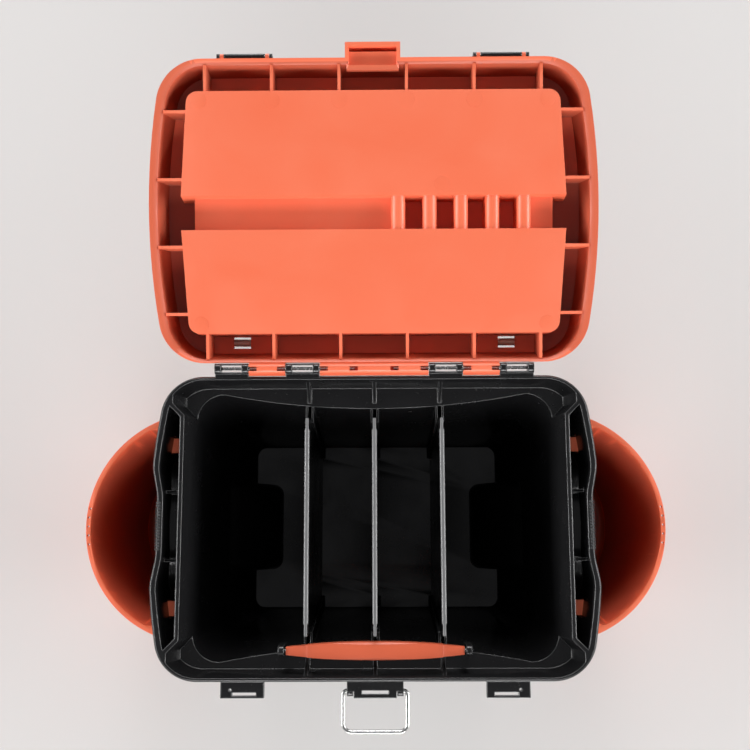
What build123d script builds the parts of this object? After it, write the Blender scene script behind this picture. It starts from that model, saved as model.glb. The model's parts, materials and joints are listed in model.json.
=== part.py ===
from build123d import *
import math
import os

# Ice fishing box: a tapered tub with bowed side rails, a ribbed lid that opens to the rear, three
# lift-out dividers, two half-round side pockets, a wire bail and two hasps. All sizes are in
# millimetres. +Z is up, the latch side faces -Y, and the origin is the middle of the base.

# Clearances: round a turning pin, between pieces at rest, and how far a cutting form runs past a face
RUNNING = 0.06
REST_GAP = 0.3
OVERCUT = 1.0

# Tub and rim band
BOX_WIDTH = 384.6
BOX_DEPTH = 256.0
BOX_HEIGHT = 212.0
CORNER_RADIUS = 36.5
SIDE_BOW = 13.9
RIM_WALL = 3.2
RIM_DRAFT = 6.0
RIM_CHAMFER = 1.6
TUB_WALL = 2.6
LEDGE_DROP = 32.0
LEDGE_BOW = 13.0
LEDGE_SHELF = 5.4
FLOOR_WIDTH = 252.0
FLOOR_DEPTH = 166.0
FLOOR_CORNER = 10.0
FOOT_HEIGHT = 3.0
FOOT_WIDTH = 4.0
FOOT_INSET = 0.6

# Double side walls: a channel between rail and tub, with a hand arch under the middle of the rail
SIDE_WALL_INSET = 28.5
SIDE_WALL = 3.5
SIDE_DRAFT = 10.2
SIDE_WALL_KNEE_INSET = 33.5
SIDE_WALL_CHAMFER = 10.2
RAIL_WALL = 5.5
CHANNEL_DEPTH = 50.0
CHANNEL_FLOOR = 2.4
CHANNEL_END_INSET = 23.5
ARCH_DROP = 20.0
ARCH_RADIUS = 87.0
WAIST_INSET = 6.7
WAIST_HALF_LENGTH = 26.0
WAIST_SLOPE = 13.0
WAIST_SLOPE_LENGTH = 65.0
WAIST_ROUND = 40.0
RIB_PITCH = 58.0
RIB = 2.5
RIB_SLOPE = 11.0

# Hand recesses moulded into the foot of the two sides
RECESS_HALF_LENGTH = 43.0
RECESS_HEIGHT = 77.0
RECESS_DEPTH = 26.5
RECESS_MID_DEPTH = 20.0
RECESS_MID_HEIGHT = 52.0
RECESS_ROUND = 10.0

# Guides for the dividers
GUSSET = 3.0
GUSSET_REACH = 107.0
GUSSET_DROP = 4.0
GUIDE_WALL = 2.0
GUIDE_DEPTH = 11.7
GUIDE_TOP_DROP = 2.0

# Dividers, each with a thicker bead along its top
DIVIDER = 2.6
DIVIDER_CLEARANCE = 0.3
DIVIDER_BEAD = 4.2
DIVIDER_BEAD_HEIGHT = 5.0
DIVIDER_BEAD_STEP = 0.05
DIVIDER_TOP_INSET = 36.5
DIVIDER_BEAD_INSET = 9.5
DIVIDER_TOP_DROP = 2.0
DIVIDER_ENGAGEMENT = 4.0

# Front grip on its rod
GRIP_LENGTH = 150.0
GRIP_WIDTH = 14.7
GRIP_HEIGHT = 13.4
GRIP_END_WIDTH = 6.5
GRIP_MID_LENGTH = 114.0
GRIP_STEP = 0.7
GRIP_DIAGONAL = 17.346
GRIP_INSET = 24.0
GRIP_DROP = 12.0
GRIP_ROD = 3.0
GRIP_LUG = 5.0
GRIP_LUG_RADIUS = 4.5
GRIP_LUG_GAP = 1.5

# Hinge: two steel pins through black ears and orange knuckles
HINGE_OFFSET = 6.5
HINGE_PIN = 2.6
HINGE_PIN_INNER = 16.6
HINGE_PIN_OUTER = 137.0
HINGE_EAR_RADIUS = 4.5
HINGE_KNUCKLE_RADIUS = 4.2
HINGE_EAR_WIDTH = 29.0
HINGE_EAR_NEAR = 62.0
HINGE_EAR_FAR = 123.5
HINGE_EAR_WINDOW = 18.0
HINGE_WINDOW_FRONT_WALL = 1.0
HINGE_WINDOW_REAR_WALL = 1.2
HINGE_SIDE_GAP = 0.5
HINGE_DEPTH = 9.0
HINGE_NOTCH = 7.0
HINGE_NOTCH_HALF = 1.9
OPEN_ANGLE = 168.6

# Lid: its walls stand inside the rim at the sides and beyond it at the front and rear
LID_SIDE_GAP = 2.3
LID_OVERHANG = 1.5
LID_CORNER = 38.0
LID_HEIGHT = 38.0
LID_DRAFT = 10.0
LID_WALL = 2.5
LID_ROUND = 5.0
LIP_SIDE = 3.6
LIP_FRONT = 2.0
LIP_HEIGHT = 2.2
LIP_SEAT = 0.8
LIP_BEVEL = 3.0
DECK_LEVEL = 29.0
DECK = 2.2
TRAY_NEAR = 14.6
TRAY_MARGIN = 25.5
TRAY_SIDE_MARGIN = 24.0
TRAY_TAPER = 6.0
TRAY_CORNER = 10.0
TRAY_DRAFT = 5.0
TRAY_LEVEL = 0.5
LID_RIB_END_INSET = 45.5
LID_RIB_DROP = 1.5
NOTCH_END_INSET = 33.8
NOTCH_LEVEL = 12.5
GROOVE_FIRST = 21.5
GROOVE_PITCH = 27.15
GROOVE_COUNT = 5
GROOVE_WIDTH = 12.2
GROOVE_LEVEL = 1.5

# Clear cover over the trays in the lid's upper side, held by two snap clips
COVER_INSET = 9.6
COVER_EDGE_GAP = 1.0
COVER_PLATE = 2.0
CLIP_SIDE_INSET = 72.0
CLIP_INSET = 17.0
CLIP_WIDTH = 13.5
CLIP_THICKNESS = 2.5
CLIP_DROP = 8.0
CLIP_BARB = 1.5
CLIP_HEAD = 1.4
CLIP_HEAD_RIM = 2.0
CLIP_CLEARANCE = 0.25
CLIP_SLOT_WIDTH = 15.0
CLIP_SLOT_DEPTH = 10.0

# Wire bail and its bracket on the body
BAIL_WIRE = 3.5
BAIL_REACH = 33.0
BAIL_HALF_WIDTH = 26.8
BAIL_BEND = 7.0
BAIL_EYE_BEND = 3.5
BAIL_END_HALF = 19.0
BAIL_PIVOT_OUT = 8.0
BAIL_PIVOT_DROP = 8.5
BRACKET_REACH = 13.4
BRACKET_HALF_WIDTH = 17.8
BRACKET_PLATE = 4.0
BRACKET_SLOT_WIDTH = 22.0
BRACKET_SLOT = 3.0
LUG_INNER = 18.3
LUG_OUTER = 23.5
LUG_RADIUS = 4.4

# Hook on the lid's front that the bail swings over
HOOK_HALF_WIDTH = 23.7
HOOK_REACH = 15.2
HOOK_WALL = 3.2
HOOK_CROWN_GAP = 0.35
HOOK_STEP = 3.8
HOOK_SCOOP_REACH = 4.4
HOOK_SCOOP_LEVEL = 14.0
HOOK_SCOOP_WALL = 1.8
HOOK_SCOOP_SHOULDER = 0.65

# Hasps and the tabs that they close over
HASP_X = 110.2
HASP_WIDTH = 48.0
HASP_LENGTH = 36.0
HASP_PLATE = 3.5
HASP_BARREL = 5.0
HASP_PIN = 2.2
HASP_PIVOT_OUT = 4.5
HASP_PIVOT_LEVEL = 5.0
HASP_FOLD = 11.0
HASP_WINDOW_TOP = 6.3
HASP_WINDOW_BOTTOM = 15.0
HASP_WINDOW_WIDTH = 40.0
HASP_LUG_OFFSET = 19.5
HASP_LUG = 3.0
HASP_LIP = 1.2
HASP_CLEARANCE = 0.5
HASP_LUG_GAP = 0.9
TAB_KEEPER_WIDTH = 36.0
TAB_KEEPER_REACH = 13.0
TAB_KEEPER_DROP = 2.0
TAB_KEEPER_SLOT = 20.0
TAB_KEEPER_HOLE = 2.4
TAB_KEEPER_HOLE_OFFSET = 10.0

# Side pockets and the hooks that hang them in the side channels
POCKET_RADIUS = 99.4
POCKET_CENTRE_INSET = 38.3
POCKET_BACK_OUT = 33.2
POCKET_WALL = 2.4
POCKET_DRAFT = 6.0
POCKET_CORNER = 10.0
POCKET_ROUND = 9.0
POCKET_BOTTOM = 22.0
POCKET_TOP_DROP = 35.0
POCKET_LIP = 1.6
POCKET_LIP_HEIGHT = 4.0
POCKET_LIP_CORNER = 5.0
POCKET_DOT = 2.0
POCKET_DOT_PITCH = 7.8
HOOK_Y = 71.0
HOOK_WIDTH = 13.0
HOOK_STRIP = 2.4
HOOK_ARM = 13.4
HOOK_TOP_DROP = 36.5
HOOK_TIP = 6.6
HOOK_WINDOW_DROP = 29.0
HOOK_WINDOW_SIDE = 1.2

BAND_HEIGHT = LEDGE_DROP + TUB_WALL
LEDGE_Z = BOX_HEIGHT - LEDGE_DROP
FLOOR_Z = FOOT_HEIGHT + TUB_WALL
LID_Z = BOX_HEIGHT + REST_GAP
LID_WIDTH = BOX_WIDTH - 2 * LID_SIDE_GAP
LID_DEPTH = BOX_DEPTH + 2 * LID_OVERHANG
HINGE_Y = BOX_DEPTH / 2 + HINGE_OFFSET
HINGE = Axis((0, HINGE_Y, BOX_HEIGHT), (-1, 0, 0))
SIDE_SHIFT = LEDGE_DROP * math.tan(math.radians(SIDE_DRAFT))
RIM_SHIFT = LEDGE_DROP * math.tan(math.radians(RIM_DRAFT))
SIDE_WALL_HALF = BOX_WIDTH / 2 - SIDE_WALL_INSET
SIDE_WALL_KNEE = BOX_DEPTH / 2 - SIDE_WALL_KNEE_INSET
CHANNEL_HALF_LENGTH = BOX_DEPTH / 2 - CHANNEL_END_INSET
WAIST_HALF_WIDTH = BOX_WIDTH / 2 - WAIST_INSET
RECESS_REACH = FLOOR_WIDTH / 2 - RECESS_DEPTH
RECESS_MID = FLOOR_WIDTH / 2 - RECESS_MID_DEPTH
DIVIDER_TOP_HALF = BOX_DEPTH / 2 - DIVIDER_TOP_INSET
DIVIDER_BEAD_HALF = DIVIDER_TOP_HALF - DIVIDER_BEAD_INSET
LEDGE_HALF_WIDTH = SIDE_WALL_HALF - SIDE_SHIFT
LEDGE_HALF_DEPTH = BOX_DEPTH / 2 - RIM_WALL - RIM_SHIFT - LEDGE_SHELF
BAIL_Y = -BOX_DEPTH / 2 - BAIL_PIVOT_OUT
BAIL_Z = BOX_HEIGHT - BAIL_PIVOT_DROP
HASP_Y = -LID_DEPTH / 2 - HASP_PIVOT_OUT
HASP_Z = LID_Z + HASP_PIVOT_LEVEL
GRIP_Y = -BOX_DEPTH / 2 + GRIP_INSET
GRIP_Z = BOX_HEIGHT - GRIP_DROP
TRAY_FAR = LID_DEPTH / 2 - TRAY_MARGIN
TRAY_NEAR_HALF = LID_WIDTH / 2 - TRAY_SIDE_MARGIN
TRAY_FAR_HALF = TRAY_NEAR_HALF - TRAY_TAPER
LID_RIB_END = LID_WIDTH / 2 - LID_RIB_END_INSET
NOTCH_HALF = LID_WIDTH / 2 - NOTCH_END_INSET
CLIP_X = LID_WIDTH / 2 - CLIP_SIDE_INSET
CLIP_Y = LID_DEPTH / 2 - CLIP_INSET
POCKET_CENTRE = BOX_WIDTH / 2 - POCKET_CENTRE_INSET
POCKET_BACK = POCKET_CENTRE + POCKET_BACK_OUT
SIDES = (-1, 1)


def block(x0, x1, y0, y1, z0, z1):
    """A box given by its two corners."""
    size = Box(x1 - x0, y1 - y0, z1 - z0)
    return Pos((x0 + x1) / 2, (y0 + y1) / 2, (z0 + z1) / 2) * size


def rod(diameter, x0, x1, y, z):
    """A round bar along X."""
    bar = Cylinder(diameter / 2, x1 - x0, rotation=(0, 90, 0))
    return Pos((x0 + x1) / 2, y, z) * bar


def side_profile(points, x0, x1):
    """A closed outline in the YZ plane, extruded from x0 to x1."""
    face = make_face(Plane.YZ * Polyline(*points, close=True))
    return Pos(x0, 0, 0) * extrude(face, amount=x1 - x0, dir=(1, 0, 0))


def bowed_plan(width, depth, bow, corner):
    """A rectangle whose two short sides bulge outwards by bow, with rounded corners."""
    x = width / 2
    y = depth / 2
    front = Line((bow - x, -y), (x - bow, -y))
    right = ThreePointArc((x - bow, -y), (x, 0), (x - bow, y))
    rear = Line((x - bow, y), (bow - x, y))
    left = ThreePointArc((bow - x, y), (-x, 0), (bow - x, -y))
    face = make_face([front, right, rear, left])
    return fillet(face.vertices(), corner)


def between(plan_low, z_low, plan_high, z_high):
    """The solid between two like outlines at two heights."""
    return loft([Pos(0, 0, z_low) * plan_low, Pos(0, 0, z_high) * plan_high], ruled=True)


def rim_plan(inset):
    """The rim band's outline, drawn in at the middle of each side to make a hand grip."""
    plan = bowed_plan(BOX_WIDTH - 2 * inset, BOX_DEPTH - 2 * inset, SIDE_BOW, CORNER_RADIUS - inset)
    waist = WAIST_HALF_WIDTH - inset
    reach = WAIST_HALF_LENGTH + WAIST_SLOPE_LENGTH
    outside = waist + 4 * WAIST_SLOPE
    for side in SIDES:
        corners = [
            (side * waist, -WAIST_HALF_LENGTH),
            (side * waist, WAIST_HALF_LENGTH),
            (side * (waist + WAIST_SLOPE), reach),
            (side * outside, reach),
            (side * outside, -reach),
            (side * (waist + WAIST_SLOPE), -reach),
        ]
        plan -= make_face(Polyline(*corners, close=True))
    bends = plan.vertices().filter_by(lambda v: abs(v.Y) < BOX_DEPTH / 2 - CORNER_RADIUS - 1)
    return fillet(bends, WAIST_ROUND)


def band_form(inset, drop):
    """The rim band as a solid, from the rim down, with its draft."""
    shift = drop * math.tan(math.radians(RIM_DRAFT))
    return between(rim_plan(inset + shift), BOX_HEIGHT - drop, rim_plan(inset), BOX_HEIGHT)


def rim_band():
    """The outside of the rim band, with its upper edge bevelled."""
    edge = RIM_CHAMFER * math.tan(math.radians(RIM_DRAFT))
    level = BOX_HEIGHT - RIM_CHAMFER
    low_inset = BAND_HEIGHT * math.tan(math.radians(RIM_DRAFT))
    lower = between(rim_plan(low_inset), BOX_HEIGHT - BAND_HEIGHT, rim_plan(edge), level)
    return lower + between(rim_plan(edge), level, rim_plan(RIM_CHAMFER), BOX_HEIGHT)


def side_wall_form(grow, drop):
    """Everything between the two inner side walls, grown by a wall thickness."""
    shift = drop * math.tan(math.radians(SIDE_DRAFT))
    knee = SIDE_WALL_KNEE - grow * math.tan(math.radians(22.5))
    faces = []
    for half in (SIDE_WALL_HALF + grow - shift, SIDE_WALL_HALF + grow):
        far = BOX_DEPTH
        out = half + SIDE_WALL_CHAMFER
        high = knee + SIDE_WALL_CHAMFER
        quarter = [(half, knee), (out, high), (out, far)]
        corners = quarter + [(-x, y) for x, y in reversed(quarter)]
        corners += [(-x, -y) for x, y in quarter]
        corners += [(x, -y) for x, y in reversed(quarter)]
        faces.append(make_face(Polyline(*corners, close=True)))
    return between(faces[0], BOX_HEIGHT - drop, faces[1], BOX_HEIGHT)


def tub_plan(half_width, half_depth, bow, corner):
    """The lower compartment's outline, whose front and rear can curve inwards by bow."""
    x = half_width - corner
    y = half_depth - corner
    diagonal = corner * math.sqrt(0.5)
    if bow:
        front = ThreePointArc((-x, -half_depth), (0, bow - half_depth), (x, -half_depth))
        rear = ThreePointArc((x, half_depth), (0, half_depth - bow), (-x, half_depth))
    else:
        front = Line((-x, -half_depth), (x, -half_depth))
        rear = Line((x, half_depth), (-x, half_depth))
    right = Line((half_width, -y), (half_width, y))
    left = Line((-half_width, y), (-half_width, -y))
    bends = []
    for sx, sy in ((1, -1), (1, 1), (-1, 1), (-1, -1)):
        start = (sx * x, sy * half_depth)
        middle = (sx * (x + diagonal), sy * (y + diagonal))
        end = (sx * half_width, sy * y)
        bends.append(ThreePointArc(start, middle, end))
    return make_face([front, bends[0], right, bends[1], rear, bends[2], left, bends[3]])


def tub_form(grow, z_low, z_high):
    """The lower compartment, or its outside when grown by the wall."""
    low = tub_plan(FLOOR_WIDTH / 2 + grow, FLOOR_DEPTH / 2 + grow, 0, FLOOR_CORNER + grow)
    corner = CORNER_RADIUS - LEDGE_BOW
    high = tub_plan(LEDGE_HALF_WIDTH + grow, LEDGE_HALF_DEPTH + grow, LEDGE_BOW, corner + grow)
    return between(low, z_low, high, z_high)


def hand_recess(side, shrink):
    """One of the two hollows at the foot of the sides, or its inside skin when not shrunk."""
    arc = ThreePointArc(
        (RECESS_REACH + shrink, 0, 0),
        (RECESS_MID + shrink, 0, RECESS_MID_HEIGHT - shrink),
        (SIDE_WALL_HALF, 0, RECESS_HEIGHT + 2 * RECESS_ROUND - shrink),
    )
    top = RECESS_HEIGHT + 2 * RECESS_ROUND - shrink
    down = Line((SIDE_WALL_HALF, 0, top), (SIDE_WALL_HALF, 0, 0))
    base = Line((SIDE_WALL_HALF, 0, 0), (RECESS_REACH + shrink, 0, 0))
    half = RECESS_HALF_LENGTH - shrink
    form = extrude(make_face([arc, down, base]), amount=half, both=True, dir=(0, 1, 0))
    rounded = form.edges().filter_by(GeomType.CIRCLE)
    form = fillet(rounded, RECESS_ROUND - shrink)
    return form if side > 0 else mirror(form, about=Plane.YZ)


def divider_places():
    """The places of the three dividers across the tub."""
    return (-RIB_PITCH, 0, RIB_PITCH)


def wall_y(z):
    """Half the lower compartment's depth at its middle, at height z."""
    share = (z - FLOOR_Z) / (LEDGE_Z - FLOOR_Z)
    return FLOOR_DEPTH / 2 + share * (LEDGE_HALF_DEPTH - LEDGE_BOW - FLOOR_DEPTH / 2)


def body_guides():
    """Gussets on the rim band and slotted guides on the lower walls, one pair for each divider."""
    guide_top = LEDGE_Z - GUIDE_TOP_DROP
    outer = BOX_DEPTH / 2 - RIM_WALL / 2
    parts = []
    for x in divider_places():
        for side in SIDES:
            gusset = [
                (side * GUSSET_REACH, LEDGE_Z - TUB_WALL / 2),
                (side * (outer - RIM_SHIFT), LEDGE_Z - TUB_WALL / 2),
                (side * outer, BOX_HEIGHT - GUSSET_DROP),
            ]
            parts.append(side_profile(gusset, x - GUSSET / 2, x + GUSSET / 2))
            guide = [
                (side * (wall_y(FLOOR_Z) - GUIDE_DEPTH), FLOOR_Z - TUB_WALL / 2),
                (side * (wall_y(FLOOR_Z) + TUB_WALL), FLOOR_Z - TUB_WALL / 2),
                (side * (wall_y(guide_top) + LEDGE_BOW), guide_top),
                (side * (wall_y(guide_top) - GUIDE_DEPTH), guide_top),
            ]
            half_slot = DIVIDER / 2 + DIVIDER_CLEARANCE
            for hand in SIDES:
                near = x + hand * half_slot
                far = x + hand * (half_slot + GUIDE_WALL)
                web = side_profile(guide, min(near, far), max(near, far))
                parts.append(web & tub_form(TUB_WALL / 2, FOOT_HEIGHT, LEDGE_Z))
    return parts


def centre_bracket():
    """The slotted plate and the two lugs that carry the wire bail."""
    face_y = -BOX_DEPTH / 2
    root = face_y + RIM_WALL / 2 + BAIL_PIVOT_DROP * math.tan(math.radians(RIM_DRAFT))
    top = BOX_HEIGHT - BRACKET_PLATE
    bracket = block(-BRACKET_HALF_WIDTH, BRACKET_HALF_WIDTH, face_y - BRACKET_REACH, root,
                    top - BRACKET_PLATE, top)
    slot_y = face_y - BRACKET_REACH + BRACKET_SLOT * 1.5
    bracket -= block(-BRACKET_SLOT_WIDTH / 2, BRACKET_SLOT_WIDTH / 2, slot_y - BRACKET_SLOT / 2,
                     slot_y + BRACKET_SLOT / 2, top - 2 * BRACKET_PLATE, top + BRACKET_PLATE)
    for side in SIDES:
        x0 = min(side * LUG_INNER, side * LUG_OUTER)
        x1 = max(side * LUG_INNER, side * LUG_OUTER)
        lug = rod(2 * LUG_RADIUS, x0, x1, BAIL_Y, BAIL_Z)
        lug += block(x0, x1, BAIL_Y, root, BAIL_Z - LUG_RADIUS, BAIL_Z + LUG_RADIUS)
        web = block(min(side * BRACKET_HALF_WIDTH, x0), max(side * BRACKET_HALF_WIDTH, x1),
                    BAIL_Y, root, top - BRACKET_PLATE, top)
        bracket += lug
        bracket += web
    return bracket


def keeper_tab(side):
    """A tab under one hasp: flat on top, round below about the hasp's axis."""
    face_y = -BOX_DEPTH / 2
    root = face_y + RIM_WALL / 2
    top = BOX_HEIGHT - TAB_KEEPER_DROP
    radius = HASP_WINDOW_BOTTOM - HASP_CLEARANCE
    x0 = side * HASP_X - TAB_KEEPER_WIDTH / 2
    x1 = side * HASP_X + TAB_KEEPER_WIDTH / 2
    tab = block(x0, x1, face_y - TAB_KEEPER_REACH, root, HASP_Z - radius, top)
    tab &= rod(2 * radius, x0, x1, HASP_Y, HASP_Z)
    slot_y = face_y - TAB_KEEPER_REACH + BRACKET_SLOT
    slot_x = side * (HASP_X - BRACKET_SLOT / 2)
    tab -= block(slot_x - TAB_KEEPER_SLOT / 2, slot_x + TAB_KEEPER_SLOT / 2,
                 slot_y - BRACKET_SLOT / 2, slot_y + BRACKET_SLOT / 2, 0, BOX_HEIGHT)
    hole = Cylinder(TAB_KEEPER_HOLE / 2, BOX_HEIGHT, align=(Align.CENTER, Align.CENTER, Align.MIN))
    tab -= Pos(side * (HASP_X + TAB_KEEPER_HOLE_OFFSET), face_y - TAB_KEEPER_REACH / 2, 0) * hole
    return tab


def hinge_ears():
    """The black ears behind the rim, each with a window over the pin."""
    parts = []
    root = BOX_DEPTH / 2 - RIM_WALL / 2
    for side in SIDES:
        for centre in (HINGE_EAR_NEAR, HINGE_EAR_FAR):
            x0 = side * centre - HINGE_EAR_WIDTH / 2
            x1 = side * centre + HINGE_EAR_WIDTH / 2
            ear = rod(2 * HINGE_EAR_RADIUS, x0, x1, HINGE_Y, BOX_HEIGHT)
            web = [
                (root, BOX_HEIGHT - REST_GAP),
                (HINGE_Y, BOX_HEIGHT - REST_GAP),
                (HINGE_Y, BOX_HEIGHT - HINGE_EAR_RADIUS),
                (root, BOX_HEIGHT - HINGE_DEPTH),
            ]
            ear += side_profile(web, x0, x1)
            window = HINGE_EAR_WINDOW / 2
            ear -= block(side * centre - window, side * centre + window,
                         HINGE_Y - HINGE_EAR_RADIUS + HINGE_WINDOW_FRONT_WALL,
                         HINGE_Y + HINGE_EAR_RADIUS - HINGE_WINDOW_REAR_WALL,
                         BOX_HEIGHT - HINGE_DEPTH, BOX_HEIGHT + HINGE_EAR_RADIUS)
            ear -= rod(HINGE_PIN + 2 * RUNNING, x0, x1, HINGE_Y, BOX_HEIGHT)
            parts.append(ear)
    return parts


def side_zone(side, x, half_length, drop, z_high):
    """The space outside x on one side, from a depth below the rim up to z_high."""
    x0 = min(side * x, side * BOX_WIDTH)
    x1 = max(side * x, side * BOX_WIDTH)
    return block(x0, x1, -half_length, half_length, BOX_HEIGHT - drop, z_high)


def arch_form(wall):
    """The hand arch as a round form across the box, or its underside when drawn in by a wall."""
    radius = ARCH_RADIUS - wall
    return rod(2 * radius, -BOX_WIDTH, BOX_WIDTH, 0, BOX_HEIGHT - ARCH_DROP - ARCH_RADIUS)


def arch_level(y):
    """Height of the arch's upper surface at y."""
    return BOX_HEIGHT - ARCH_DROP - ARCH_RADIUS + math.sqrt(ARCH_RADIUS ** 2 - y ** 2)


def side_channels():
    """The hollows between the side walls and the rails, closed below by a floor and the arch."""
    hollow = band_form(RAIL_WALL, CHANNEL_DEPTH) - side_wall_form(SIDE_WALL, CHANNEL_DEPTH)
    half = CHANNEL_HALF_LENGTH
    hollow &= block(-BOX_WIDTH, BOX_WIDTH, -half, half, 0, BOX_HEIGHT)
    return hollow - arch_form(0)


def side_troughs(outside):
    """The outsides of the side channels below the rim band, one on each side of the tub."""
    drop = CHANNEL_DEPTH + CHANNEL_FLOOR
    slope = math.tan(math.radians(RIM_DRAFT))
    form = between(rim_plan(drop * slope), BOX_HEIGHT - drop, rim_plan(BAND_HEIGHT * slope),
                   BOX_HEIGHT - BAND_HEIGHT)
    form -= side_wall_form(0, drop + RIB) - outside
    half = CHANNEL_HALF_LENGTH + RIB
    reach = FLOOR_WIDTH / 2
    return [form & side_zone(side, reach, half, drop, BOX_HEIGHT) for side in SIDES]


def hand_tunnels(outside):
    """What the hand arch leaves open between the tub's wall and the outside of the rail."""
    drop = CHANNEL_DEPTH + 2 * CHANNEL_FLOOR
    under = arch_form(CHANNEL_FLOOR) - side_wall_form(SIDE_WALL, drop) - outside
    return [under & side_zone(side, FLOOR_WIDTH / 2, ARCH_RADIUS, drop, BOX_HEIGHT) for side in SIDES]


def hook_windows():
    """The windows in the rails' walls that the pockets' hooks reach through."""
    sill = BOX_HEIGHT - HOOK_TOP_DROP - HOOK_STRIP - REST_GAP
    half = HOOK_WIDTH / 2 + HOOK_WINDOW_SIDE
    parts = []
    for side in SIDES:
        x0 = min(side * (POCKET_BACK - HOOK_ARM - HOOK_STRIP), side * BOX_WIDTH)
        x1 = max(side * (POCKET_BACK - HOOK_ARM - HOOK_STRIP), side * BOX_WIDTH)
        for y in (-HOOK_Y, HOOK_Y):
            parts.append(block(x0, x1, y - half, y + half, sill, BOX_HEIGHT - HOOK_WINDOW_DROP))
    return parts


def side_ribs():
    """Cross ribs over the hand arches, whose tops slope down to the rails."""
    slope = math.tan(math.radians(SIDE_DRAFT))
    wall = SIDE_WALL_HALF + SIDE_WALL / 2
    low = arch_level(RIB_PITCH / 2) - RIB / 2
    within = band_form(RAIL_WALL / 2, BAND_HEIGHT)
    parts = []
    for side in SIDES:
        outline = [
            (side * (wall - RIB * slope), BOX_HEIGHT - RIB),
            (side * WAIST_HALF_WIDTH, BOX_HEIGHT - RIB - RIB_SLOPE),
            (side * WAIST_HALF_WIDTH, low),
            (side * (wall - (BOX_HEIGHT - low) * slope), low),
        ]
        rib = extrude(make_face(Plane.XZ * Polyline(*outline, close=True)), amount=RIB / 2, both=True)
        for y in (-RIB_PITCH / 2, RIB_PITCH / 2):
            parts.append(Pos(0, y, 0) * rib & within)
    return parts


def grip_lugs():
    """Two small posts on the front ledge that hold the grip's rod."""
    parts = []
    for side in SIDES:
        inner = GRIP_LENGTH / 2 + GRIP_LUG_GAP
        x0 = min(side * inner, side * (inner + GRIP_LUG))
        x1 = max(side * inner, side * (inner + GRIP_LUG))
        post = rod(2 * GRIP_LUG_RADIUS, x0, x1, GRIP_Y, GRIP_Z)
        post += block(x0, x1, GRIP_Y - GRIP_LUG_RADIUS, GRIP_Y + GRIP_LUG_RADIUS,
                      LEDGE_Z - TUB_WALL, GRIP_Z)
        post -= rod(GRIP_ROD + 2 * RUNNING, x0, x1, GRIP_Y, GRIP_Z)
        parts.append(post)
    return parts


def body_shell():
    """The black moulding: tub, ledge, rim band, side rails, guides, brackets and hinge ears."""
    upper = band_form(RIM_WALL, LEDGE_DROP) & side_wall_form(0, LEDGE_DROP)
    outside = tub_form(TUB_WALL, FOOT_HEIGHT, LEDGE_Z)
    inside = tub_form(0, FLOOR_Z, LEDGE_Z)

    shell = rim_band()
    for trough in side_troughs(outside):
        shell += trough
    shell += outside
    edge = TUB_WALL - FOOT_INSET
    foot = tub_plan(FLOOR_WIDTH / 2 + edge, FLOOR_DEPTH / 2 + edge, 0, FLOOR_CORNER + edge)
    edge -= FOOT_WIDTH
    foot -= tub_plan(FLOOR_WIDTH / 2 + edge, FLOOR_DEPTH / 2 + edge, 0, FLOOR_CORNER + edge)
    foot += Rectangle(FLOOR_WIDTH, FOOT_WIDTH)
    foot += Rectangle(FOOT_WIDTH, FLOOR_DEPTH)
    shell += extrude(foot, amount=FOOT_HEIGHT + TUB_WALL / 2)
    shell -= side_channels()
    for tunnel in hand_tunnels(outside):
        shell -= tunnel
    for rib in side_ribs():
        shell += rib
    for window in hook_windows():
        shell -= window
    shell -= upper
    shell -= inside
    for side in SIDES:
        skin = hand_recess(side, 0) & outside
        shell += skin & block(-BOX_WIDTH, BOX_WIDTH, -BOX_DEPTH, BOX_DEPTH, FOOT_HEIGHT, LEDGE_Z)
        shell -= hand_recess(side, TUB_WALL)
    for guide in body_guides():
        shell += guide
    for post in grip_lugs():
        shell += post
    shell += centre_bracket()
    for side in SIDES:
        shell += keeper_tab(side)
        shell -= rod(BAIL_WIRE + 2 * RUNNING, min(side * BAIL_END_HALF, side * BAIL_HALF_WIDTH) - RIB / 2,
                     max(side * BAIL_END_HALF, side * BAIL_HALF_WIDTH) + RIB / 2, BAIL_Y, BAIL_Z)
    for ear in hinge_ears():
        shell += ear
    return shell


def divider(x):
    """A lift-out wall: a tapered plate with shoulders, a bead along the top and thin ends."""
    top = BOX_HEIGHT - DIVIDER_TOP_DROP
    shoulder = LEDGE_Z - GUIDE_TOP_DROP
    low = FLOOR_Z + DIVIDER_CLEARANCE
    reach = GUIDE_DEPTH - DIVIDER_ENGAGEMENT
    half_low = wall_y(FLOOR_Z) - reach
    half_high = wall_y(shoulder) - reach
    half = [(half_low, low), (half_high, shoulder), (DIVIDER_TOP_HALF, shoulder + GUIDE_DEPTH / 2)]
    half += [(DIVIDER_TOP_HALF, top)]
    outline = half + [(-y, z) for y, z in reversed(half)]
    plate = side_profile(outline, x - DIVIDER / 2, x + DIVIDER / 2)
    bead = block(x - DIVIDER_BEAD / 2, x + DIVIDER_BEAD / 2, -DIVIDER_BEAD_HALF, DIVIDER_BEAD_HALF,
                 top - DIVIDER_BEAD_HEIGHT, top)
    bead = chamfer(bead.edges().filter_by(Axis.Z), (DIVIDER_BEAD - DIVIDER) / 2 - DIVIDER_BEAD_STEP)
    bead = fillet(bead.edges().group_by(Axis.Z)[-1].filter_by(Axis.Y), DIVIDER_BEAD / 4)
    return plate + bead


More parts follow.
